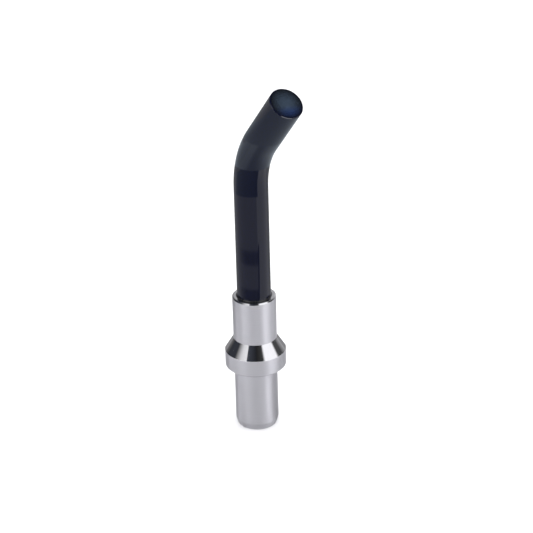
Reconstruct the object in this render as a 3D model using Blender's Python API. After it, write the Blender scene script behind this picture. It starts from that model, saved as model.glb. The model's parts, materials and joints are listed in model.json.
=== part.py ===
"""A dental curing-light guide: a bent rod of fused glass fibre in a black glass jacket, bonded into a
turned stainless steel ferrule that plugs into the nose of the curing lamp.

The frame is in metres. The origin is the centre of the plug's ground end face, +Z runs up along the
plug and the straight of the rod, and the tip bends towards +X, so XZ is the mirror plane.
"""

import math

import bmesh
import bpy
from mathutils import Matrix, Vector

MM = 0.001

# Driving dimensions of the rod, in millimetres and degrees.
ROD_DIAMETER = 8.0
JACKET_WALL = 0.38
BEND_START = 62.25  # height where the straight of the rod ends
BEND_RADIUS = 20.8  # of the rod's centre line
BEND_ANGLE = 38.0
TIP_LENGTH = 15.0  # straight length after the bend
TIP_BEVEL = 0.15  # ground on the jacket's edge, so that it doesn't chip

# Driving dimensions of the ferrule, from the plug's end upwards.
PLUG_DIAMETER = 10.24
NOSE_DIAMETER = 9.24  # at the foot of the lead-in taper, before its edge is rounded
LEAD_IN = 1.7
NOSE_ROUND = 0.4
SEAT_HEIGHT = 15.75  # underside of the flange, which stops on the lamp's nose
FLANGE_DIAMETER = 14.5
FLANGE_CHAMFER = 0.44
RIM_TOP = 20.1
CONE_TOP = 23.35
SLEEVE_DIAMETER = 10.35
MOUTH_HEIGHT = 34.25
MOUTH_CHAMFER = 0.3
EDGE_ROUND = 0.08  # every other outside edge is broken this much

# Driving dimensions of the bond.
GLUE_FILM = 0.08
COUNTERSINK = 0.15  # cut in the mouth of the bore, where the resin fills it
GLUE_START = 0.6  # the film stops short of the ground end
BEAD_HEIGHT = 0.35  # how far the resin climbs up the rod above the mouth
BEAD_EDGE = 0.04  # how thick it is where it ends on the rod
BEAD_HOLLOW = 0.22  # radius of its hollow face

# Pieces that touch keep this gap, as their meshes hold rounded numbers.
GAP = 0.02

ROD_SIDES = 48
BEND_STEPS = 18
TURNED_SIDES = 64
ARC_STEPS = 4
SHARP_ANGLE = 30.0

rod_radius = ROD_DIAMETER / 2
core_radius = rod_radius - JACKET_WALL
film_inside = rod_radius + GAP
film_outside = film_inside + GLUE_FILM
bore_radius = film_outside + GAP
sleeve_radius = SLEEVE_DIAMETER / 2
flange_radius = FLANGE_DIAMETER / 2
plug_radius = PLUG_DIAMETER / 2


def remove_everything():
    for old in list(bpy.data.objects):
        bpy.data.objects.remove(old, do_unlink=True)


def principled(name, colour, roughness, metallic=0.0, ior=1.5):
    """A material with one Principled BSDF, its colour as linear RGB."""
    material = bpy.data.materials.new(name)
    material.use_nodes = True
    material.diffuse_color = (*colour, 1.0)
    shader = material.node_tree.nodes["Principled BSDF"]
    shader.inputs["Base Color"].default_value = (*colour, 1.0)
    shader.inputs["Roughness"].default_value = roughness
    shader.inputs["Metallic"].default_value = metallic
    shader.inputs["IOR"].default_value = ior
    return material


def of_type(geometry, kind):
    return [item for item in geometry if isinstance(item, kind)]


def finish(name, shape, material):
    """A named object for the shape, smooth across its round sides and sharp at its edges."""
    bmesh.ops.recalc_face_normals(shape, faces=shape.faces[:])
    mesh = bpy.data.meshes.new(name)
    shape.to_mesh(mesh)
    shape.free()
    mesh.shade_smooth()
    mesh.set_sharp_from_angle(angle=math.radians(SHARP_ANGLE))
    mesh.materials.append(material)
    piece = bpy.data.objects.new(name, mesh)
    bpy.context.scene.collection.objects.link(piece)
    return piece


def rounded(corners):
    """The closed outline through (radius, height, rounding) corners, each rounding drawn as an arc."""
    points = []
    for i, (radius, height, rounding) in enumerate(corners):
        corner = Vector((radius, height))
        if not rounding:
            points.append(corner)
            continue
        before = (Vector(corners[i - 1][:2]) - corner).normalized()
        after = (Vector(corners[(i + 1) % len(corners)][:2]) - corner).normalized()
        half_angle = before.angle(after) / 2
        middle = corner + (before + after).normalized() * rounding / math.sin(half_angle)
        start = corner + before * rounding / math.tan(half_angle) - middle
        end = corner + after * rounding / math.tan(half_angle) - middle
        turn = start.angle_signed(end)
        for step in range(ARC_STEPS + 1):
            arm = Matrix.Rotation(-turn * step / ARC_STEPS, 2) @ start
            points.append(middle + arm)
    return points


def turned(name, corners, material):
    """A piece turned on a lathe: its outline runs down the outside and up the bore, spun about Z."""
    shape = bmesh.new()
    points = [shape.verts.new((point.x * MM, 0, point.y * MM)) for point in rounded(corners)]
    outline = [shape.edges.new((points[i - 1], points[i])) for i in range(len(points))]
    bmesh.ops.spin(
        shape,
        geom=points + outline,
        cent=(0, 0, 0),
        axis=(0, 0, 1),
        angle=math.tau,
        steps=TURNED_SIDES,
        use_merge=True,
    )
    return finish(name, shape, material)


def bent_rod(name, outer, inner, bevel, material):
    """A round rod, or a tube where inner isn't 0, drawn up along Z, bent towards +X and run straight on."""
    shape = bmesh.new()
    bmesh.ops.create_circle(shape, cap_ends=not inner, segments=ROD_SIDES, radius=outer * MM)
    if inner:
        bmesh.ops.create_circle(shape, segments=ROD_SIDES, radius=inner * MM)
        bmesh.ops.bridge_loops(shape, edges=shape.edges[:])

    straight = bmesh.ops.extrude_face_region(shape, geom=shape.faces[:])["geom"]
    bmesh.ops.translate(
        shape, verts=of_type(straight, bmesh.types.BMVert), vec=(0, 0, BEND_START * MM)
    )
    bend = bmesh.ops.spin(
        shape,
        geom=straight,
        cent=(BEND_RADIUS * MM, 0, BEND_START * MM),
        axis=(0, 1, 0),
        angle=math.radians(BEND_ANGLE),
        steps=BEND_STEPS,
    )["geom_last"]
    tip = bmesh.ops.extrude_face_region(shape, geom=bend)["geom"]
    bmesh.ops.translate(
        shape, verts=of_type(tip, bmesh.types.BMVert), vec=tip_direction() * TIP_LENGTH * MM
    )

    if bevel:
        rim = [
            edge
            for edge in of_type(tip, bmesh.types.BMEdge)
            if all(
                (vertex.co - tip_centre()).length > (outer - bevel) * MM for vertex in edge.verts
            )
        ]
        bmesh.ops.bevel(
            shape, geom=rim, offset=bevel * MM, offset_type="OFFSET", segments=1, affect="EDGES"
        )
    return finish(name, shape, material)


def tip_direction():
    """The way the light leaves the tip, as a unit vector."""
    return Vector((math.sin(math.radians(BEND_ANGLE)), 0, math.cos(math.radians(BEND_ANGLE))))


def tip_centre():
    """The centre of the tip's end face, in metres."""
    angle = math.radians(BEND_ANGLE)
    bend_end = Vector(
        (BEND_RADIUS * (1 - math.cos(angle)), 0, BEND_START + BEND_RADIUS * math.sin(angle))
    )
    return (bend_end + tip_direction() * TIP_LENGTH) * MM


def make_ferrule():
    """The plug, the conical stop flange and the sleeve, turned in one piece from bar."""
    steel = principled("stainless_steel", (0.55, 0.55, 0.57), 0.3, metallic=1.0)
    return turned(
        "ferrule",
        [
            (sleeve_radius - MOUTH_CHAMFER, MOUTH_HEIGHT, EDGE_ROUND),
            (sleeve_radius, MOUTH_HEIGHT - MOUTH_CHAMFER, EDGE_ROUND),
            (sleeve_radius, CONE_TOP, 0),
            (flange_radius, RIM_TOP, EDGE_ROUND),
            (flange_radius, SEAT_HEIGHT + FLANGE_CHAMFER, EDGE_ROUND),
            (flange_radius - FLANGE_CHAMFER, SEAT_HEIGHT, EDGE_ROUND),
            (plug_radius, SEAT_HEIGHT, 0),
            (plug_radius, LEAD_IN, 1.0),
            (NOSE_DIAMETER / 2, 0, NOSE_ROUND),
            (bore_radius, 0, 0),
            (bore_radius, MOUTH_HEIGHT - COUNTERSINK, 0),
            (bore_radius + COUNTERSINK, MOUTH_HEIGHT, 0),
        ],
        steel,
    )


def make_bond():
    """The resin that holds the rod: a thin film in the bore and the bead that it forms at the mouth."""
    resin = principled("black_epoxy", (0.004, 0.004, 0.005), 0.15, ior=1.56)
    foot = MOUTH_HEIGHT + GAP
    top = MOUTH_HEIGHT + BEAD_HEIGHT
    return turned(
        "epoxy_bond",
        [
            (film_inside, top, 0),
            (film_inside + BEAD_EDGE, top, 0),
            (film_inside + BEAD_EDGE, foot + BEAD_EDGE, BEAD_HOLLOW),
            (film_outside + COUNTERSINK, foot, 0),
            (film_outside, MOUTH_HEIGHT - COUNTERSINK, 0),
            (film_outside, GLUE_START, 0),
            (film_inside, GLUE_START, 0),
        ],
        resin,
    )


def make_jacket():
    """The black glass tube that keeps light from leaking out of the side of the fibres."""
    black_glass = principled("black_glass", (0.008, 0.009, 0.013), 0.04, ior=1.52)
    return bent_rod("glass_jacket", rod_radius, core_radius + GAP, TIP_BEVEL, black_glass)


def make_core():
    """The fused bundle of fibres, ground flat and polished at both of its ends."""
    fibre_glass = principled("fused_fibre", (0.045, 0.07, 0.11), 0.06, ior=1.62)
    return bent_rod("fibre_core", core_radius, 0, 0, fibre_glass)


def main():
    remove_everything()
    make_ferrule()
    make_bond()
    make_jacket()
    make_core()


main()
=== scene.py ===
# %% [markdown]
# # The looks of a dental curing-light guide
# A curing-light guide carries blue light from a lamp to a tooth. It is a rod of fused glass fibre in a
# black glass jacket, bent near its tip and bonded into a turned stainless steel ferrule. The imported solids
# give the sizes and places. This script gives each piece a fine surface, the finish of its real material,
# and the studio that it stands in.

import json
import math

import bmesh
import bpy
from mathutils import Matrix, Vector


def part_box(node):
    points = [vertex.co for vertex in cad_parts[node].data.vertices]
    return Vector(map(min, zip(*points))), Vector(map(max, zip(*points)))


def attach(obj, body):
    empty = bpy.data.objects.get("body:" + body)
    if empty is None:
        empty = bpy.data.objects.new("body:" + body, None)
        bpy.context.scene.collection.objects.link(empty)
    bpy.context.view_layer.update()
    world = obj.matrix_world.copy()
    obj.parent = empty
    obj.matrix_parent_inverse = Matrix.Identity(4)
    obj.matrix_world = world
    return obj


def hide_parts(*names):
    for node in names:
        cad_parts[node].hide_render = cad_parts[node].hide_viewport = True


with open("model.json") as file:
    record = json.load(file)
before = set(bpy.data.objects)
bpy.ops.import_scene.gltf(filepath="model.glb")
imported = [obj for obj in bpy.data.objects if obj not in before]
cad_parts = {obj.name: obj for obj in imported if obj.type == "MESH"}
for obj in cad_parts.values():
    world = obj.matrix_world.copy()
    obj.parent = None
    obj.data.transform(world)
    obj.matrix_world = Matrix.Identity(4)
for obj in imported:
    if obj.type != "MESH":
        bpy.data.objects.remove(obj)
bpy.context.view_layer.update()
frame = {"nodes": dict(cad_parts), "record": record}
MM = 0.001
print("solids:", ", ".join(sorted(frame["nodes"])))

# %% [markdown]
# ## Reading the drawing off the frame
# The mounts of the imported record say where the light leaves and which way, and where the flange seats. The
# boxes of the solids give the diameters. The few sizes that a box can't show, such as the bend's radius and
# the roundings, are named here. All of them are in millimetres, because that is how a turner and a glass
# worker think.

# %% Sizes in millimetres
mounts = {mount["name"]: mount for mount in frame["record"]["mounts"]}


def box_mm(node):
    """The low and high corners of a solid's box."""
    low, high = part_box(node)
    return low / MM, high / MM


_, ferrule_high = box_mm("ferrule")
_, jacket_high = box_mm("glass_jacket")
_, core_high = box_mm("fibre_core")
bond_low, bond_high = box_mm("epoxy_bond")

FLANGE_RADIUS = ferrule_high.y
MOUTH_HEIGHT = ferrule_high.z
SEAT_HEIGHT = mounts["flange_seat"]["pos_m"][2] / MM
ROD_RADIUS = jacket_high.y
CORE_RADIUS = core_high.y
BEAD_TOP = bond_high.z

PLUG_RADIUS = 5.12
NOSE_RADIUS = 4.62
LEAD_IN = 1.7
NOSE_ROUND = 0.4
LEAD_IN_ROUND = 1.0  # where the lead-in meets the plug
FLANGE_CHAMFER = 0.44
RIM_TOP = 20.1
CONE_TOP = 23.35
SLEEVE_RADIUS = 5.175
MOUTH_CHAMFER = 0.3
EDGE_ROUND = 0.08
BORE_RADIUS = 4.12
COUNTERSINK = 0.15
BEND_RADIUS = 20.8
TIP_BEVEL = 0.15

TIP_CENTRE = Vector(mounts["light_exit"]["pos_m"]) / MM
TIP_DIRECTION = Vector(mounts["light_exit"]["axis"]).normalized()
BEND_ANGLE = math.atan2(TIP_DIRECTION.x, TIP_DIRECTION.z)
TIP_LENGTH = (TIP_CENTRE.x - BEND_RADIUS * (1 - math.cos(BEND_ANGLE))) / math.sin(BEND_ANGLE)
BEND_START = TIP_CENTRE.z - BEND_RADIUS * math.sin(BEND_ANGLE) - TIP_LENGTH * math.cos(BEND_ANGLE)
print(f"rod {2 * ROD_RADIUS:.2f} in diameter, bent {math.degrees(BEND_ANGLE):.1f} degrees")
print(f"straight to {BEND_START:.2f}, then {TIP_LENGTH:.2f} after the bend")

# %% [markdown]
# ## The camera
# The picture is a product shot from a little above, with a long lens that keeps the plug and the tip
# nearly the same size. The camera stands on a sphere around a point in the rod, at an azimuth and an
# elevation, and leans over by a degree and a half, so the ferrule isn't quite upright in the frame.

# %% Camera
VIEW_AZIMUTH = math.radians(51.97)
VIEW_ELEVATION = math.radians(26.76)
CAMERA_ROLL = math.radians(-1.465)
CAMERA_DISTANCE = 508.7
SENSOR_WIDTH = 36.0
FOCAL_LENGTH = 147.2
NEAREST_SEEN = 0.01  # in metres
AIM_SIDE = 3.1  # the camera looks at a point this far to the right of the plug's axis
AIM_HEIGHT = 41.51

to_right = Vector((math.cos(VIEW_AZIMUTH), math.sin(VIEW_AZIMUTH), 0))
to_viewer = Vector((math.sin(VIEW_AZIMUTH), -math.cos(VIEW_AZIMUTH), 0))
AIM_POINT = to_right * AIM_SIDE + Vector((0, 0, AIM_HEIGHT))


def aim_camera():
    """Puts up the camera on its sphere, leaning by the roll."""
    back = to_viewer * math.cos(VIEW_ELEVATION) + Vector((0, 0, math.sin(VIEW_ELEVATION)))
    up = back.cross(to_right)
    right = to_right * math.cos(CAMERA_ROLL) + up * math.sin(CAMERA_ROLL)
    up = back.cross(right)
    lens = bpy.data.cameras.new("product_lens")
    lens.lens = FOCAL_LENGTH
    lens.sensor_width = SENSOR_WIDTH
    lens.clip_start = NEAREST_SEEN
    camera = bpy.data.objects.new("product_camera", lens)
    bpy.context.scene.collection.objects.link(camera)
    turned = Matrix((right, up, back)).transposed().to_4x4()
    camera.matrix_world = Matrix.Translation((AIM_POINT + back * CAMERA_DISTANCE) * MM) @ turned
    bpy.context.scene.camera = camera
    return camera


camera = aim_camera()
print("camera at", [round(value, 3) for value in camera.location])

# %% [markdown]
# ## Helpers for materials
# Colours are written as the hex values that a paint chart uses, which are sRGB, while Blender's shaders
# count in linear light. One function turns the first into the second. Another adds a node, sets what it is
# told to and links what it is given, so a material reads as a list of steps. Patterns are laid out in the
# object's own space, in millimetres, so that their scales are real sizes.


# %% Colour and node helpers
def linear(hex_colour):
    """An sRGB hex value such as "#b7b5b9" as linear RGBA."""
    channels = [int(hex_colour[i : i + 2], 16) / 255 for i in (1, 3, 5)]
    toe = 0.04045  # below it the sRGB curve is a straight line
    return (*[c / 12.92 if c <= toe else ((c + 0.055) / 1.055) ** 2.4 for c in channels], 1.0)


def set_inputs(material, node, inputs):
    """Gives a node its inputs, each as a value or as the socket to link."""
    for name, value in inputs.items():
        if isinstance(value, bpy.types.NodeSocket):
            material.node_tree.links.new(value, node.inputs[name])
        else:
            node.inputs[name].default_value = value


def add_node(material, kind, inputs=None, **settings):
    """Adds a node of that kind, with its settings and its inputs."""
    node = material.node_tree.nodes.new(kind)
    for name, value in settings.items():
        setattr(node, name, value)
    set_inputs(material, node, inputs or {})
    return node


def start_material(name):
    """A new material and its Principled shader."""
    material = bpy.data.materials.new(name)
    material.use_nodes = True
    return material, material.node_tree.nodes["Principled BSDF"]


def place_in_mm(material):
    """The socket of the place on the object, in millimetres."""
    place = add_node(material, "ShaderNodeTexCoord")
    in_mm = add_node(
        material,
        "ShaderNodeVectorMath",
        {0: place.outputs["Object"], 1: (1 / MM,) * 3},
        operation="MULTIPLY",
    )
    return in_mm.outputs[0]


print("a mid grey in linear light:", [round(value, 3) for value in linear("#808080")[:3]])

# %% [markdown]
# ## Satin turned stainless steel
# The sleeve, the rim and the plug are as the lathe left them: fine rings around the axis, about a tenth of
# a millimetre apart, from a sharp tool at a slow feed. Such rings are smooth along their length and rough
# across it, so a lamp's reflection is drawn out along the axis, and the barrel shows soft upright bands.
# The rings could be cut into the mesh, but they are far too fine for that. Anisotropic roughness gives
# their blur, and a bump of thin noise layers gives the few rings that the eye can pick out.
#
# Stainless steel reflects some two thirds of the light, nearly the same of every colour. The metal's own
# IOR is left alone, as metallic shading takes its reflection from the colour.

# %% Satin turned stainless
RING_SPACING = 0.12  # a slow feed
ROUGH_ALONG_AXIS = 0.38
ROUGHNESS_WANDER = 0.05
CLOUD_SIZE = 4.0  # the steel's tint drifts a little over a few millimetres
GROOVE_DEPTH = 0.01


def turning_rings(steel, detail):
    """The socket of a noise in thin layers across the axis, which stands for the rings of turning."""
    parts = add_node(steel, "ShaderNodeSeparateXYZ", {0: place_in_mm(steel)})
    rings = add_node(
        steel,
        "ShaderNodeTexNoise",
        {"W": parts.outputs["Z"], "Scale": 1 / RING_SPACING, "Detail": detail},
        noise_dimensions="1D",
    )
    return rings.outputs["Fac"]


def make_turned_stainless():
    """Satin steel: the rings set its blur, its grooves and a trace of its tint."""
    steel, shader = start_material("satin_turned_stainless")
    rings = turning_rings(steel, 3.0)
    clouds = add_node(
        steel,
        "ShaderNodeTexNoise",
        {"Vector": place_in_mm(steel), "Scale": 1 / CLOUD_SIZE, "Detail": 3.0},
    )
    tint = add_node(
        steel,
        "ShaderNodeMixRGB",
        {"Fac": clouds.outputs["Fac"], "Color1": linear("#d6d5db"), "Color2": linear("#dedde3")},
    )
    ring_tint = add_node(
        steel,
        "ShaderNodeMixRGB",
        {"Fac": rings, "Color1": tint.outputs[0], "Color2": linear("#cccbd1")},
    )
    roughness = add_node(
        steel,
        "ShaderNodeMapRange",
        {
            "Value": rings,
            "To Min": ROUGH_ALONG_AXIS - ROUGHNESS_WANDER,
            "To Max": ROUGH_ALONG_AXIS + ROUGHNESS_WANDER,
        },
    )
    groove = add_node(
        steel, "ShaderNodeBump", {"Height": rings, "Strength": 0.15, "Distance": GROOVE_DEPTH * MM}
    )
    around = add_node(steel, "ShaderNodeTangent", direction_type="RADIAL", axis="Z")
    look = {
        "Base Color": ring_tint.outputs[0],
        "Metallic": 1.0,
        "Roughness": roughness.outputs["Result"],
        "Anisotropic": 1.0,
        "Anisotropic Rotation": 0.25,  # a quarter turn from the tangent, so rough across the rings
        "Tangent": around.outputs["Tangent"],
        "Normal": groove.outputs["Normal"],
    }
    set_inputs(steel, shader, look)
    return steel


turned_stainless = make_turned_stainless()
print("made", turned_stainless.name, "with rings every", RING_SPACING, "mm")

# %% [markdown]
# ## Polished stainless steel
# The cone, the mouth of the sleeve and its chamfer were polished on a buff after turning. They mirror the
# studio with hard-edged stripes, dark where there is no lamp. A buff leaves a trace of the rings and a
# slight haze, so the roughness is low but not nothing, and it wanders a little.

# %% Polished stainless
BUFFED_ROUGHNESS = 0.09
BUFFED_WANDER = 0.03
HAZE_SIZE = 1.7


def make_polished_stainless():
    """Buffed steel: a mirror with a slight haze and a trace of the rings."""
    steel, shader = start_material("buffed_stainless")
    haze = add_node(
        steel,
        "ShaderNodeTexNoise",
        {"Vector": place_in_mm(steel), "Scale": 1 / HAZE_SIZE, "Detail": 4.0},
    )
    roughness = add_node(
        steel,
        "ShaderNodeMapRange",
        {
            "Value": haze.outputs["Fac"],
            "To Min": BUFFED_ROUGHNESS - BUFFED_WANDER,
            "To Max": BUFFED_ROUGHNESS + BUFFED_WANDER,
        },
    )
    tint = add_node(
        steel,
        "ShaderNodeMixRGB",
        {"Fac": haze.outputs["Fac"], "Color1": linear("#d2d1d4"), "Color2": linear("#dbdadc")},
    )
    rings = turning_rings(steel, 1.0)
    groove = add_node(
        steel, "ShaderNodeBump", {"Height": rings, "Strength": 0.02, "Distance": GROOVE_DEPTH * MM}
    )
    look = {
        "Base Color": tint.outputs[0],
        "Metallic": 1.0,
        "Roughness": roughness.outputs["Result"],
        "Normal": groove.outputs["Normal"],
    }
    set_inputs(steel, shader, look)
    return steel


polished_stainless = make_polished_stainless()
print("made", polished_stainless.name, "with a roughness around", BUFFED_ROUGHNESS)

# %% [markdown]
# ## Turning an outline
# The ferrule and the bead of resin are bodies of revolution. Each is drawn as half a section: corners as
# radius and height in millimetres, each with the rounding that breaks its edge. A rounding is drawn as an
# arc, with a short straight kept on both sides of it, so that smooth shading turns within the arc and
# leaves the long faces flat. The section is then spun about Z. A Screw modifier would do the same, but
# with the mesh in hand each band of faces can be given its own finish.

# %% Lathe helpers
AROUND = 288
ARC_STEPS = 8
HOLD = 0.02  # straight kept beside a rounding
SHARP_ANGLE = math.radians(25)


def rounded_outline(corners):
    """The (point, finish) list of a closed outline, from (radius, height, rounding, finish) corners."""
    outline = []
    for i, (radius, height, rounding, finish) in enumerate(corners):
        corner = Vector((radius, height))
        before = (Vector(corners[i - 1][:2]) - corner).normalized()
        after = (Vector(corners[(i + 1) % len(corners)][:2]) - corner).normalized()
        earlier = corners[i - 1][3]
        if not rounding:
            outline.append((corner, finish))
            continue
        half_angle = before.angle(after) / 2
        reach = rounding / math.tan(half_angle)
        middle = corner + (before + after).normalized() * rounding / math.sin(half_angle)
        start = corner + before * reach - middle
        turn = start.angle_signed(corner + after * reach - middle)
        outline.append((corner + before * (reach + HOLD), earlier))
        for step in range(ARC_STEPS + 1):
            arm = Matrix.Rotation(-turn * step / ARC_STEPS, 2) @ start
            outline.append((middle + arm, finish if 2 * step >= ARC_STEPS else earlier))
        outline.append((corner + after * (reach + HOLD), finish))
    return outline


def new_piece(name, mesh, materials):
    """An object for the mesh, with these materials in its slots."""
    piece = bpy.data.objects.new(name, mesh)
    bpy.context.scene.collection.objects.link(piece)
    for material in materials:
        mesh.materials.append(material)
    return piece


def smooth_piece(name, shape, materials):
    """An object for the built shape, smooth over its curves and sharp at its edges."""
    bmesh.ops.recalc_face_normals(shape, faces=shape.faces[:])
    mesh = bpy.data.meshes.new(name)
    shape.to_mesh(mesh)
    shape.free()
    mesh.shade_smooth()
    mesh.set_sharp_from_angle(angle=SHARP_ANGLE)
    return new_piece(name, mesh, materials)


def lathe(name, corners, materials, wobble=None):
    """Spins the outline about Z. wobble, if given, moves a point by where it is around the axis."""
    outline = rounded_outline(corners)
    shape = bmesh.new()
    rings = []
    for step in range(AROUND):
        angle = math.tau * step / AROUND
        ring = []
        for point, _ in outline:
            radius, height = wobble(point.x, point.y, angle) if wobble else point
            ring.append(
                shape.verts.new(
                    (radius * math.cos(angle) * MM, radius * math.sin(angle) * MM, height * MM)
                )
            )
        rings.append(ring)
    for step, ring in enumerate(rings):
        after = rings[(step + 1) % AROUND]
        for i in range(len(outline)):
            j = (i + 1) % len(outline)
            face = shape.faces.new((ring[i], ring[j], after[j], after[i]))
            face.material_index = outline[i][1]
    return smooth_piece(name, shape, materials)


print("lathe ready:", AROUND, "steps around")

# %% [markdown]
# ## The ferrule
# It is one piece of bar: a plug with a lead-in that finds the lamp's socket, a flange with a flat seat
# that stops on the lamp's nose, a cone that leads the eye and a cleaning cloth up to the sleeve, and a
# sleeve that holds the rod. Its section is walked from the mouth down the outside, across the nose and up
# the bore. Each corner names the finish of the face that follows it.

# %% Ferrule
SATIN, BUFFED = 0, 1

ferrule = lathe(
    "ferrule_turned_stainless",
    [
        (SLEEVE_RADIUS - MOUTH_CHAMFER, MOUTH_HEIGHT, EDGE_ROUND, BUFFED),
        (SLEEVE_RADIUS, MOUTH_HEIGHT - MOUTH_CHAMFER, EDGE_ROUND, SATIN),
        (SLEEVE_RADIUS, CONE_TOP, 0, BUFFED),
        (FLANGE_RADIUS, RIM_TOP, EDGE_ROUND, SATIN),
        (FLANGE_RADIUS, SEAT_HEIGHT + FLANGE_CHAMFER, EDGE_ROUND, BUFFED),
        (FLANGE_RADIUS - FLANGE_CHAMFER, SEAT_HEIGHT, EDGE_ROUND, SATIN),
        (PLUG_RADIUS, SEAT_HEIGHT, 0, SATIN),
        (PLUG_RADIUS, LEAD_IN, LEAD_IN_ROUND, SATIN),
        (NOSE_RADIUS, 0, NOSE_ROUND, BUFFED),
        (BORE_RADIUS, 0, 0, SATIN),
        (BORE_RADIUS, MOUTH_HEIGHT - COUNTERSINK, 0, BUFFED),
        (BORE_RADIUS + COUNTERSINK, MOUTH_HEIGHT, 0, BUFFED),
    ],
    [turned_stainless, polished_stainless],
)
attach(ferrule, "root")
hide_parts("ferrule")
print("ferrule:", len(ferrule.data.polygons), "faces")

# %% [markdown]
# ## Black epoxy
# The rod is held by a filled resin that was poured as a liquid. It wets both the glass and the steel, so
# where it ends, at the mouth of the bore, it climbs the rod in a small hollow bead with a wet gloss. Its
# edge wanders a little, as no two drops run alike.

# %% Black epoxy
LUMP_SIZE = 0.8
LUMP_HEIGHT = 0.05


def make_black_epoxy():
    """Cast resin: black and wet, with a lumpy skin."""
    resin, shader = start_material("cast_black_epoxy")
    lumps = add_node(
        resin,
        "ShaderNodeTexNoise",
        {"Vector": place_in_mm(resin), "Scale": 1 / LUMP_SIZE, "Detail": 3.0},
    )
    tint = add_node(
        resin,
        "ShaderNodeMixRGB",
        {"Fac": lumps.outputs["Fac"], "Color1": linear("#08080a"), "Color2": linear("#15151a")},
    )
    roughness = add_node(
        resin,
        "ShaderNodeMapRange",
        {"Value": lumps.outputs["Fac"], "To Min": 0.08, "To Max": 0.2},
    )
    skin = add_node(
        resin,
        "ShaderNodeBump",
        {"Height": lumps.outputs["Fac"], "Strength": 0.2, "Distance": LUMP_HEIGHT * MM},
    )
    look = {
        "Base Color": tint.outputs[0],
        "Roughness": roughness.outputs["Result"],
        "IOR": 1.56,
        "Normal": skin.outputs["Normal"],
    }
    set_inputs(resin, shader, look)
    return resin


black_epoxy = make_black_epoxy()
print("made", black_epoxy.name, "with lumps of", LUMP_SIZE, "mm")

# %% [markdown]
# ## The bond
# The resin fills the gap between the rod and the bore as a film of about a tenth of a millimetre, which
# stops short of the ground end. A shallow countersink in the mouth holds the foot of the bead.

# %% Bond
GAP = 0.02  # between pieces that touch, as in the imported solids
GLUE_START = bond_low.z
FILM_INSIDE = ROD_RADIUS + GAP
FILM_OUTSIDE = BORE_RADIUS - GAP
BEAD_EDGE = 0.04  # thickness where it ends on the rod
BEAD_HOLLOW = 0.22  # radius of its hollow face
BEAD_WANDER = 0.03
BEAD_WAVES = ((2, 1.0, 0.6), (5, 0.6, 1.9), (9, 0.4, 0.0))  # waves around, their share, their start


def wandering_bead(radius, height, angle):
    """The bead's top rises and falls by a few hundredths of a millimetre around the rod."""
    rise = max(0.0, height - MOUTH_HEIGHT) / (BEAD_TOP - MOUTH_HEIGHT)  # 1 at the top, 0 in the bore
    wave = sum(share * math.sin(count * angle + start) for count, share, start in BEAD_WAVES)
    return radius, height - BEAD_WANDER * rise * (1 + 0.5 * wave)


foot = MOUTH_HEIGHT + GAP
bond = lathe(
    "bond_black_epoxy",
    [
        (FILM_INSIDE, BEAD_TOP, 0, 0),
        (FILM_INSIDE + BEAD_EDGE, BEAD_TOP, 0, 0),
        (FILM_INSIDE + BEAD_EDGE, foot + BEAD_EDGE, BEAD_HOLLOW, 0),
        (FILM_OUTSIDE + COUNTERSINK, foot, 0, 0),
        (FILM_OUTSIDE, MOUTH_HEIGHT - COUNTERSINK, 0, 0),
        (FILM_OUTSIDE, GLUE_START, 0, 0),
        (FILM_INSIDE, GLUE_START, 0, 0),
    ],
    [black_epoxy],
    wobble=wandering_bead,
)
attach(bond, "root")
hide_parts("epoxy_bond")
print("resin bead stands", round(BEAD_TOP - MOUTH_HEIGHT, 2), "mm proud of the mouth")

# %% [markdown]
# ## The rod's path
# The rod was drawn straight, cut, heated and bent over a former, then cut square again. Its centre line is
# a straight, an arc and a straight. Each ring of points stands square to that line. The skin over the rings
# carries a UV map in millimetres: how far around the rod and how far along it a point is, so that the marks
# of drawing run along the glass around the bend too. On an end face the same map holds the place in the
# face.

# %% Path helpers
ROD_AROUND = 192
BEND_STEPS = 64
STRAIGHT_STEP = 2.0
SIDEWAYS = Vector((0, 1, 0))  # square to the bend; crossed with the line it points into the bend
BEND_END = BEND_START + BEND_RADIUS * BEND_ANGLE
ROD_LENGTH = BEND_END + TIP_LENGTH


def place_on_path(along):
    """The centre and the direction of the rod's line, that many millimetres from the plug's end."""
    if along <= BEND_START:
        return Vector((0, 0, along)), Vector((0, 0, 1))
    if along >= BEND_END:
        return TIP_CENTRE - TIP_DIRECTION * (ROD_LENGTH - along), TIP_DIRECTION.copy()
    turn = (along - BEND_START) / BEND_RADIUS
    across = BEND_RADIUS * (1 - math.cos(turn))
    centre = Vector((across, 0, BEND_START + BEND_RADIUS * math.sin(turn)))
    return centre, Vector((math.sin(turn), 0, math.cos(turn)))


def stations(last):
    """Lengths along the rod at which rings stand: coarse on the straights, fine in the bend."""
    spans = (
        (0, BEND_START, round(BEND_START / STRAIGHT_STEP)),
        (BEND_START, BEND_END, BEND_STEPS),
        (BEND_END, last, round((last - BEND_END) / STRAIGHT_STEP)),
    )
    return [low + (high - low) * i / steps for low, high, steps in spans for i in range(steps)] + [last]


def ring_points(along, radius):
    """One ring around the rod's line, as points in millimetres."""
    centre, direction = place_on_path(along)
    inward = SIDEWAYS.cross(direction)
    turns = [math.tau * i / ROD_AROUND for i in range(ROD_AROUND)]
    return [
        centre + (inward * math.cos(turn) + SIDEWAYS * math.sin(turn)) * radius for turn in turns
    ]


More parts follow.
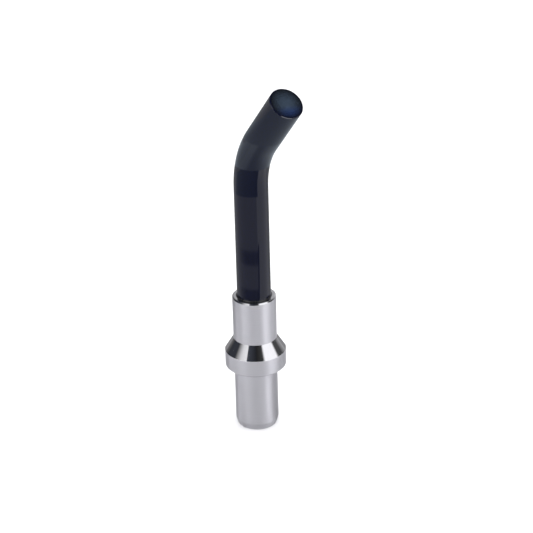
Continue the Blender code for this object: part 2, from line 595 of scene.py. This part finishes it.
def skin_rod(name, rings, materials, capped):
    """Skins rings of (along, radius) in turn, and closes them with caps or last ring to first."""
    shape = bmesh.new()
    marks = shape.loops.layers.uv.new("drawn_mm")
    rows = [[shape.verts.new(p * MM) for p in ring_points(*ring)] for ring in rings]

    def mark(face, first, second, i):
        turns = (i, i, i + 1, i + 1)
        for loop, (along, radius), turn in zip(face.loops, (first, second, second, first), turns):
            loop[marks].uv = (turn / ROD_AROUND * math.tau * radius, along)

    pairs = list(zip(range(len(rows)), range(1, len(rows))))
    if not capped:
        pairs.append((len(rows) - 1, 0))
    for one, two in pairs:
        for i in range(ROD_AROUND):
            j = (i + 1) % ROD_AROUND
            face = shape.faces.new((rows[one][i], rows[two][i], rows[two][j], rows[one][j]))
            mark(face, rings[one], rings[two], i)
    if capped:
        for row, (along, _) in ((rows[0], rings[0]), (rows[-1], rings[-1])):
            centre, direction = place_on_path(along)
            inward = SIDEWAYS.cross(direction)
            cap = shape.faces.new(row)
            cap.material_index = 1
            for loop in cap.loops:
                arm = loop.vert.co / MM - centre
                loop[marks].uv = (arm.dot(inward), arm.dot(SIDEWAYS))
    return smooth_piece(name, shape, materials)


print(f"rod is {ROD_LENGTH:.2f} mm long along its centre line")

# %% [markdown]
# ## Black jacket glass
# The jacket is a tube of black glass that was drawn down together with the fibres. Drawn glass has a fire
# polish: it cools from the melt with no tool on it, so it is glossier than anything ground, and mirrors
# the studio on its sides. What light gets in is soaked up within a tenth of a millimetre, which leaves a
# blue-black body colour. Drawing leaves very faint long streaks, which are put into the bump and the
# roughness. Soda-lime glass has an IOR of 1.52.

# %% Black jacket glass
STREAK_WIDTH = 0.35  # the streaks of drawn glass are finer, and would not show
STREAK_LENGTH = 25.0
STREAK_DEPTH = 0.02


def make_black_glass():
    """Drawn black glass: a clear gloss with faint streaks along the rod."""
    glass, shader = start_material("drawn_black_glass")
    marks = add_node(glass, "ShaderNodeUVMap", uv_map="drawn_mm")
    stretched = add_node(
        glass,
        "ShaderNodeVectorMath",
        {0: marks.outputs["UV"], 1: (1 / STREAK_WIDTH, 1 / STREAK_LENGTH, 0)},
        operation="MULTIPLY",
    )
    streaks = add_node(
        glass,
        "ShaderNodeTexNoise",
        {"Vector": stretched.outputs[0], "Scale": 1.0, "Detail": 3.0},
        noise_dimensions="2D",
    )
    tint = add_node(
        glass,
        "ShaderNodeMixRGB",
        {"Fac": streaks.outputs["Fac"], "Color1": linear("#04071a"), "Color2": linear("#060a20")},
    )
    roughness = add_node(
        glass,
        "ShaderNodeMapRange",
        {"Value": streaks.outputs["Fac"], "To Min": 0.03, "To Max": 0.07},
    )
    ripple = add_node(
        glass,
        "ShaderNodeBump",
        {"Height": streaks.outputs["Fac"], "Strength": 0.03, "Distance": STREAK_DEPTH * MM},
    )
    look = {
        "Base Color": tint.outputs[0],
        "Roughness": roughness.outputs["Result"],
        "IOR": 1.52,
        "Normal": ripple.outputs["Normal"],
    }
    set_inputs(glass, shader, look)
    return glass


black_glass = make_black_glass()
print("made", black_glass.name, "with streaks", STREAK_WIDTH, "mm wide")

# %% [markdown]
# ## The jacket
# The tube runs the whole length of the rod. At the tip its outer edge is broken by a tiny bevel, because
# a sharp glass edge chips and cuts. At the plug's end it was ground flush with the steel.

# %% Jacket
JACKET_INSIDE = CORE_RADIUS + GAP
BEVEL_ROUND = 0.06

section = rounded_outline(
    [
        (ROD_RADIUS, 0, 0, 0),
        (ROD_RADIUS, ROD_LENGTH - TIP_BEVEL, BEVEL_ROUND, 0),
        (ROD_RADIUS - TIP_BEVEL, ROD_LENGTH, BEVEL_ROUND, 0),
        (JACKET_INSIDE, ROD_LENGTH, 0, 0),
        (JACKET_INSIDE, 0, 0, 0),
    ]
)
bevel = [(point.y, point.x) for point, _ in section[1:-2]]  # without the two ends of the tube
outer = [(along, ROD_RADIUS) for along in stations(bevel[0][0])]
inner = [(along, JACKET_INSIDE) for along in reversed(stations(ROD_LENGTH))]
jacket = skin_rod(
    "jacket_black_glass",
    outer + bevel[1:] + inner,
    [black_glass],
    capped=False,
)
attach(jacket, "root")
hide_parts("glass_jacket")
print("jacket:", len(jacket.data.polygons), "faces, wall", round(ROD_RADIUS - JACKET_INSIDE, 2), "mm")

# %% [markdown]
# ## Fused fibre
# The core is a bundle of bundles: fibres of about 0.05 mm are drawn together into a hexagonal rod of about
# 0.6 mm, and over a hundred of those are fused side by side. Ground and polished, the end face shows the
# borders of the rods as a faint honeycomb under a hard gloss. Voronoi cells that are only half random come
# close to such a honeycomb. The single fibres are too fine to show, so they are drawn three times as wide
# as they are.

# %% The pattern of the fibres
MULTIFIBRE = 0.62
FIBRE_SHOWN = 0.15
BORDER_WIDTH = 0.08  # as a share of a cell
MIDDLE_TO_EDGE = 0.7  # the furthest that a point lies from its cell's middle, in cells


def honeycomb(face, place, cell, randomness, **settings):
    """A flat pattern of cells that size, in millimetres."""
    return add_node(
        face,
        "ShaderNodeTexVoronoi",
        {"Vector": place, "Scale": 1 / cell, "Randomness": randomness},
        voronoi_dimensions="2D",
        **settings,
    )


def times(face, first, second):
    """The socket of two sockets' product."""
    product = add_node(face, "ShaderNodeMath", {0: first, 1: second}, operation="MULTIPLY")
    return product.outputs[0]


def fibre_shade(face, place):
    """How bright the face is at its borders, rods and fibres, around 1, and the place in a fibre."""
    borders = honeycomb(face, place, MULTIFIBRE, 0.55, feature="DISTANCE_TO_EDGE")
    rods = honeycomb(face, place, MULTIFIBRE, 0.55)
    fibres = honeycomb(face, place, FIBRE_SHOWN, 0.4)
    dark_border = add_node(
        face,
        "ShaderNodeMapRange",
        {"Value": borders.outputs["Distance"], "From Max": BORDER_WIDTH, "To Min": 0.62},
    )
    rod_tone = add_node(
        face,
        "ShaderNodeMapRange",
        {"Value": rods.outputs["Color"], "To Min": 0.86, "To Max": 1.1},
    )
    grain = add_node(
        face,
        "ShaderNodeMapRange",
        {
            "Value": fibres.outputs["Distance"],
            "From Max": MIDDLE_TO_EDGE,
            "To Min": 1.08,
            "To Max": 0.88,
        },
    )
    rod_shade = times(face, dark_border.outputs["Result"], rod_tone.outputs["Result"])
    return times(face, rod_shade, grain.outputs["Result"]), fibres.outputs["Distance"]


print("rods of", MULTIFIBRE, "mm, about", round((2 * CORE_RADIUS / MULTIFIBRE) ** 2), "in the face")

# %% [markdown]
# ## The light face
# The polished face is painted with light. Its colour is painted slate blue, lighter in the middle, as if
# daylight that falls in at one end came out at the other, and least of it near the jacket. Towards the
# inside of the bend the painted colour turns a deeper blue.

# %% The light face
INSIDE_OF_BEND = (0.99, -0.14, 0)  # in the map of the face
BLUE_STARTS = 0.3  # this far from the middle, in millimetres
BLUE_ENDS = 3.3
GLOW_FADES = 1.0
GLOW_ENDS = CORE_RADIUS + 0.2  # beyond the edge, so that the edge isn't quite black


def painted_fibre_light(face, place):
    """The painted light of the face: the daylight that would come up through the fibres, painted into the
    face's colour.
    """
    inwards = add_node(
        face, "ShaderNodeVectorMath", {0: place, 1: INSIDE_OF_BEND}, operation="DOT_PRODUCT"
    )
    blue_side = add_node(
        face,
        "ShaderNodeMapRange",
        {
            "Value": inwards.outputs["Value"],
            "From Min": BLUE_STARTS,
            "From Max": BLUE_ENDS,
        },
        interpolation_type="SMOOTHSTEP",
    )
    slate = {"Fac": blue_side.outputs["Result"], "Color1": linear("#2f3a48")}
    glow = add_node(face, "ShaderNodeMixRGB", {**slate, "Color2": linear("#22386a")})
    from_middle = add_node(face, "ShaderNodeVectorMath", {0: place}, operation="LENGTH")
    to_edge = add_node(
        face,
        "ShaderNodeMapRange",
        {
            "Value": from_middle.outputs["Value"],
            "From Min": GLOW_FADES,
            "From Max": GLOW_ENDS,
        },
    )
    fading = {"Fac": to_edge.outputs["Result"], "Color1": glow.outputs[0]}
    return add_node(face, "ShaderNodeMixRGB", {**fading, "Color2": linear("#04060c")}).outputs[0]


def make_fibre_face():
    """Polished fibres: the painted light of the fibres, shaded by the honeycomb, under a hard gloss."""
    face, shader = start_material("polished_fused_fibre")
    place = add_node(face, "ShaderNodeUVMap", uv_map="drawn_mm").outputs["UV"]
    shade, from_fibre = fibre_shade(face, place)
    colour = add_node(
        face,
        "ShaderNodeVectorMath",
        {0: painted_fibre_light(face, place), "Scale": shade},
        operation="SCALE",
    )
    roughness = add_node(
        face,
        "ShaderNodeMapRange",
        {"Value": from_fibre, "From Max": MIDDLE_TO_EDGE, "To Min": 0.04, "To Max": 0.09},
    )
    look = {
        "Base Color": colour.outputs[0],
        "Roughness": roughness.outputs["Result"],
        "IOR": 1.6,
    }
    set_inputs(face, shader, look)
    return face


fibre_face = make_fibre_face()
print("made", fibre_face.name)

# %% [markdown]
# ## The core
# The core is a solid rod that fills the jacket. Its sides are fused to the black glass and never show. Both
# of its ends are light faces: the lower one lies at the plug's end, flush with the steel.

# %% Core
core = skin_rod(
    "core_fused_fibre",
    [(along, CORE_RADIUS) for along in stations(ROD_LENGTH)],
    [black_glass, fibre_face],
    capped=True,
)
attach(core, "root")
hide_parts("fibre_core")
print("core:", len(core.data.polygons), "faces")

# %% [markdown]
# ## The studio
# The guide stands on a white table in a white tent: even light from all round and a large lamp overhead,
# so nothing shows behind it and its shadow is all but gone. Polished metal and black glass would look pale
# and flat in such a tent, because they'd mirror plain white. So the tent itself is kept out of reflections,
# and cards are put up instead for them to mirror.


# %% Floor, tent and lamp
TABLE_HALF = 4.0  # the studio's own sizes are in metres
LAMP_HEIGHT = 0.6
LAMP_SIDE = 1.2
LAMP_WATTS = 5.0


def make_floor():
    """A plain white table, much larger than the picture."""
    spread = ((-1, -1), (1, -1), (1, 1), (-1, 1))
    mesh = bpy.data.meshes.new("studio_floor")
    mesh.from_pydata([(x * TABLE_HALF, y * TABLE_HALF, 0) for x, y in spread], [], [(0, 1, 2, 3)])
    material, shader = start_material("white_table")
    shader.inputs["Base Color"].default_value = linear("#f4f4f5")
    shader.inputs["Roughness"].default_value = 0.6
    floor = new_piece("studio_floor", mesh, [material])


def make_tent():
    """Even white light from all round, which nothing mirrors."""
    world = bpy.data.worlds.new("white_tent")
    world.use_nodes = True
    world.node_tree.nodes["Background"].inputs["Color"].default_value = (1, 1, 1, 1)
    world.cycles_visibility.glossy = False
    bpy.context.scene.world = world


def make_overhead_lamp():
    """A large soft lamp straight above, which nothing mirrors."""
    light = bpy.data.lights.new("overhead_lamp", "AREA")
    light.shape = "SQUARE"
    light.size = LAMP_SIDE
    light.energy = LAMP_WATTS
    lamp = bpy.data.objects.new("overhead_lamp", light)
    lamp.location = (0, 0, LAMP_HEIGHT)
    lamp.visible_glossy = False
    bpy.context.scene.collection.objects.link(lamp)


make_floor()
make_tent()
make_overhead_lamp()
print("tent, table and lamp are up")

# %% [markdown]
# ## Cards to mirror
# A card is a strip between two arcs around the guide. Each arc has a distance and a height, so a card can
# lie on the table, stand as a wall or hang level around the rod. Its brightness may fade from one side to
# the other, as on a paper that is lit from one side. Azimuths are counted from the camera towards its
# right, in degrees. The cards light nothing and cast no shadow: they are only there for the mirror. A
# studio wrapped around the scene as a backdrop could give the far cards, but not those that stand close to
# the guide.


# %% Card helpers
CARD_STEPS = 48
WALL_DISTANCE = 500.0
TENT_DISTANCE = 900.0
EYE_HEIGHT = 25.0  # walls are placed as seen from this height on the guide
LAYER_HEIGHT = 0.1  # between papers that lie on each other
SHELF_NEAR = 0.1  # a shelf starts inside the rod, so that no gap shows around it
CARD_TINT = (0.99, 0.995, 1.015)  # the papers are lit by slightly cool light
DARK_TINT = (0.86, 0.95, 1.2)  # and what isn't lit keeps a blue shade
COOL_TINT = (0.9, 1.0, 1.08)  # the shelves are a little bluer than the papers


def direction(azimuth):
    """The level unit vector at that azimuth."""
    turn = math.radians(azimuth)
    return to_viewer * math.cos(turn) + to_right * math.sin(turn)


def on_table(distance, left, right, layer=0):
    """An arc on the table. A higher layer lies on top of a lower one."""
    return distance, LAYER_HEIGHT * (layer + 1), left, right


def on_wall(elevation, left, right, distance=WALL_DISTANCE):
    """An arc that stands at that elevation, in degrees, as the guide sees it."""
    tilt = math.radians(elevation)
    return distance * math.cos(tilt), EYE_HEIGHT + distance * math.sin(tilt), left, right


def card_paper():
    """One paper for every card: each shines as brightly as the tone stored on its points."""
    paper = bpy.data.materials.new("lit_card")
    paper.use_nodes = True
    paper.node_tree.nodes.clear()
    tone = add_node(paper, "ShaderNodeAttribute", attribute_name="tone")
    glow = add_node(paper, "ShaderNodeEmission", {"Color": tone.outputs["Color"]})
    add_node(paper, "ShaderNodeOutputMaterial", {"Surface": glow.outputs[0]})
    return paper


lit_card = card_paper()


def put_card(name, first_arc, second_arc, left_tone, right_tone, tint=CARD_TINT):
    """A strip between two (distance, height, left, right) arcs, fading from the left tone to the right."""
    points, faces, glow = [], [], []
    for i in range(CARD_STEPS + 1):
        share = i / CARD_STEPS
        tone = left_tone + (right_tone - left_tone) * share
        for distance, height, left, right in (first_arc, second_arc):
            out = direction(left + (right - left) * share)
            points.append((out * distance + Vector((0, 0, height))) * MM)
            glow.append((*[tone * part for part in tint], 1))
        if i:
            faces.append((2 * i - 2, 2 * i, 2 * i + 1, 2 * i - 1))
    mesh = bpy.data.meshes.new(name)
    mesh.from_pydata(points, [], faces)
    shades = mesh.attributes.new("tone", "FLOAT_COLOR", "POINT")
    for shade, colour in zip(shades.data, glow):
        shade.color = colour
    card = new_piece(name, mesh, [lit_card])
    card.visible_camera = False
    card.visible_shadow = False
    card.visible_diffuse = False


def put_wall(name, left, right, low, high, *tones, distance=WALL_DISTANCE, tint=CARD_TINT):
    """A wall from a left to a right azimuth and from a low to a high elevation, in degrees."""
    arcs = (on_wall(elevation, left, right, distance) for elevation in (low, high))
    put_card(name, *arcs, *tones, tint)


def put_paper(name, near, far, left, right, *tones, layer=0):
    """A paper on the table from a near to a far distance."""
    arcs = (on_table(distance, left, right, layer) for distance in (near, far))
    put_card(name, *arcs, *tones)


def put_shelf(name, height, far, left, right, *tones):
    """A level card through the rod at that height, for the glass above it to mirror."""
    arcs = ((distance, height, left, right) for distance in (SHELF_NEAR, far))
    put_card(name, *arcs, *tones, COOL_TINT)


print("straight ahead of the camera is", [round(value, 3) for value in direction(0)])

# %% [markdown]
# ## The walls
# The polished cone leans back by about a third of a right angle, so it mirrors what stands around it.
#
# - A dark tent closes the studio behind everything else.
# - A bright key card on the right and a weaker fill card on the left draw the two stripes on the cone. The
#   edge cards beside them fade out, as the edge of a lamp's cloth does.
# - Darkness between them, around the camera, keeps the front of the cone black.
# - Low bright cards lighten the satin steel, whose blur along the axis reaches up to them.
# - Back cards light the outer edges of the steel, which mirror what stands behind the guide.

# %% Walls
put_wall("tent_dark", -180, 180, -10, 89, 0.05, 0.05, distance=TENT_DISTANCE, tint=DARK_TINT)
put_wall("dark_front_left", -36, 4, 20, 64, 0.08, 0.02, tint=DARK_TINT)
put_wall("dark_front_right", 4, 30, 20, 64, 0.02, 0.06)
put_wall("key_card_edge", 30, 38, 14, 64, 0.1, 1.38)
put_wall("key_card", 38, 84, 14, 64, 1.38, 1.38)
put_wall("key_card_far_edge", 84, 92, 14, 64, 1.38, 0.2)
put_wall("dark_far_right", 92, 112, 8, 64, 0.08, 0.08)
put_wall("fill_card_edge", -84, -57, 12, 62, 0.06, 0.98)
put_wall("fill_card", -57, -36, 23, 62, 0.98, 1.15)
put_wall("low_left_card", -110, -70, -2, 5, 4.6, 3.8)
put_wall("low_front_card", -70, 15, -2, 16, 3.5, 3.5)
put_wall("low_front_fade", 15, 48, -2, 16, 3.5, 2.7)
put_wall("low_right_card", 48, 93, -2, 13, 4.1, 2.5)
put_wall("low_far_right_card", 93, 110, -2, 5, 3.8, 3.4)
put_wall("back_card_left", -180, -118, -8, 55, 0.5, 0.06)
put_wall("back_card_right", 112, 150, -8, 55, 0.1, 0.75)
put_wall("back_card_middle", 150, 180, -8, 55, 0.75, 0.5)
print("walls stand", WALL_DISTANCE, "mm away")

# %% [markdown]
# ## Papers on the table
# The upright glass and steel are seen from above, so they mirror the table. Rings of paper lie around the
# guide. They are darkest in front and brighter at the left and at the back, which lights the edges of the
# barrel. A brighter band at the right draws the upright stripe on the sleeve and on the glass. Beyond the
# rings, darker papers in front make the dark patches in the glass above the sleeve.

# %% Papers on the table
PAPERS_END = 1500

for name, near, far, left_tone, front_tone, band_tone, right_tone, back_tone in (
    # The foot is a painted contact shadow: a dark ring at the plug's base, which the plug's lowest edge
    # mirrors as the shade of the table there.
    ("foot", 4.8, 5.5, 0.4, 0.4, 0.4, 0.4, 0.4),
    ("near", 5.5, 44, 0.72, 0.36, 0.76, 0.42, 0.78),
    ("middle", 44, 66, 1.05, 0.6, 0.85, 0.65, 1.6),
):
    for part, left, right, *tones in (
        ("back_left", -180, -125, back_tone, left_tone),
        ("left", -125, -75, left_tone, left_tone),
        ("fade", -75, -55, left_tone, front_tone),
        ("front", -55, 49, front_tone, front_tone),
        ("band", 49, 92, band_tone, right_tone),
        ("right", 92, 150, right_tone, back_tone),
        ("back_right", 150, 180, back_tone, back_tone),
    ):
        put_paper("table_" + name + "_" + part, near, far, left, right, *tones)

put_paper("table_far_front", 66, PAPERS_END, -125, 34, 0.46, 0.46)
# A dark slanted gap where the front papers end.
put_card("table_gap", on_table(60, 28, 35, 2), on_table(103, 36, 44, 2), 0.1, 0.1)
put_paper("table_far_left", 160, PAPERS_END, -125, -80, 0.36, 0.44, layer=2)
put_paper("table_far_right", 66, PAPERS_END, 34, 120, 0.76, 0.68)
put_paper("table_far_back_right", 66, PAPERS_END, 120, 180, 0.4, 0.2)
put_paper("table_far_back_left", 66, PAPERS_END, -180, -125, 0.2, 0.4)
for name, near, far in (("near", 64, 76), ("middle", 90.5, 99.5)):
    put_paper("gap_fade_" + name, near, far, -105, -50, 0.46, 0.2, layer=1)
    put_paper("gap_" + name, near, far, -50, 36, 0.2, 0.2, layer=1)
print("papers reach", PAPERS_END, "mm from the guide")

# %% [markdown]
# ## Shelves at the bend
# The bent part of the glass leans over and mirrors what is below it. A shelf is a level card around the
# rod, and of that part only the glass above the shelf can mirror it. The dark shelf hangs where the bend
# starts and draws a dark block there. The light shelf above it ends that block with a sharp level edge, and
# the tip's shelf starts the tone of the tip in the same way where the bend ends. The shelves reach out by
# only a few rod widths, so that the polished mouth of the sleeve doesn't mirror them.

# %% Shelves at the bend
DARK_SHELF = BEND_START - 1.05
LIGHT_SHELF = BEND_START + 5.95
TIP_SHELF = BEND_START + 13.55  # just above the end of the bend

# The dark shelf widens outwards, so that its block keeps nearly upright sides.
dark_near = (3.1, DARK_SHELF, -38, 16)
dark_far = (16, DARK_SHELF, -100, 37)
put_card("shelf_dark", dark_near, dark_far, 0.3, 0.17, COOL_TINT)
put_shelf("shelf_light_left", LIGHT_SHELF, 26, -180, -60, 0.55, 0.6)
put_shelf("shelf_light_bright", LIGHT_SHELF, 18, -60, -25, 0.68, 0.68)
put_shelf("shelf_light_fade", LIGHT_SHELF, 18, -25, -8, 0.68, 0.42)
put_shelf("shelf_light_front", LIGHT_SHELF, 18, -8, 8, 0.42, 0.42)
put_shelf("shelf_light_rise", LIGHT_SHELF, 18, 8, 35, 0.42, 0.62)
put_shelf("shelf_light_right", LIGHT_SHELF, 18, 35, 180, 0.62, 0.64)
put_shelf("shelf_tip_left", TIP_SHELF, 22, -180, -60, 0.36, 0.36)
put_shelf("shelf_tip_front", TIP_SHELF, 22, -60, 60, 0.36, 0.54)
put_shelf("shelf_tip_right", TIP_SHELF, 22, 60, 180, 0.56, 0.5)
shelf_heights = (DARK_SHELF, LIGHT_SHELF, TIP_SHELF)
print("shelves hang", [round(height, 2) for height in shelf_heights], "mm above the table")

# %% [markdown]
# ## Colour
# The picture is shown with the plain sRGB curve, so the white table stays white.

# %% Finish
bpy.context.scene.view_settings.view_transform = "Standard"
